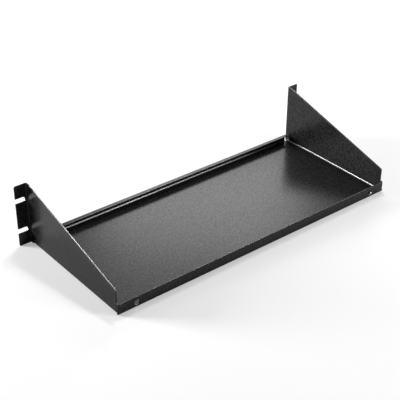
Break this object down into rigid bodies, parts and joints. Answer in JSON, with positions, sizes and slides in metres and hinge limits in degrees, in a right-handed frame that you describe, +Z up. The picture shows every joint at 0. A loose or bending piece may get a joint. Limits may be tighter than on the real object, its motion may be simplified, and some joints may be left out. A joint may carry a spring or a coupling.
{
  "type": "rack shelf",
  "caption": "Cantilever rack shelf folded from one steel sheet: shallow tray, tapered side gussets and ears with open mounting slots.",
  "frame": {"origin": "middle of the underside of the bounding box", "axes": "+X across the rack, +Y from the free front lip to the ears, +Z up"},
  "size_m": [0.4826, 0.1986, 0.0881],
  "materials": {
    "powder_coat": "fine-textured, semi-gloss black powder coat"
  },
  "bodies": {
    "root": {"shelf": "powder_coat"}
  },
  "joints": []
}
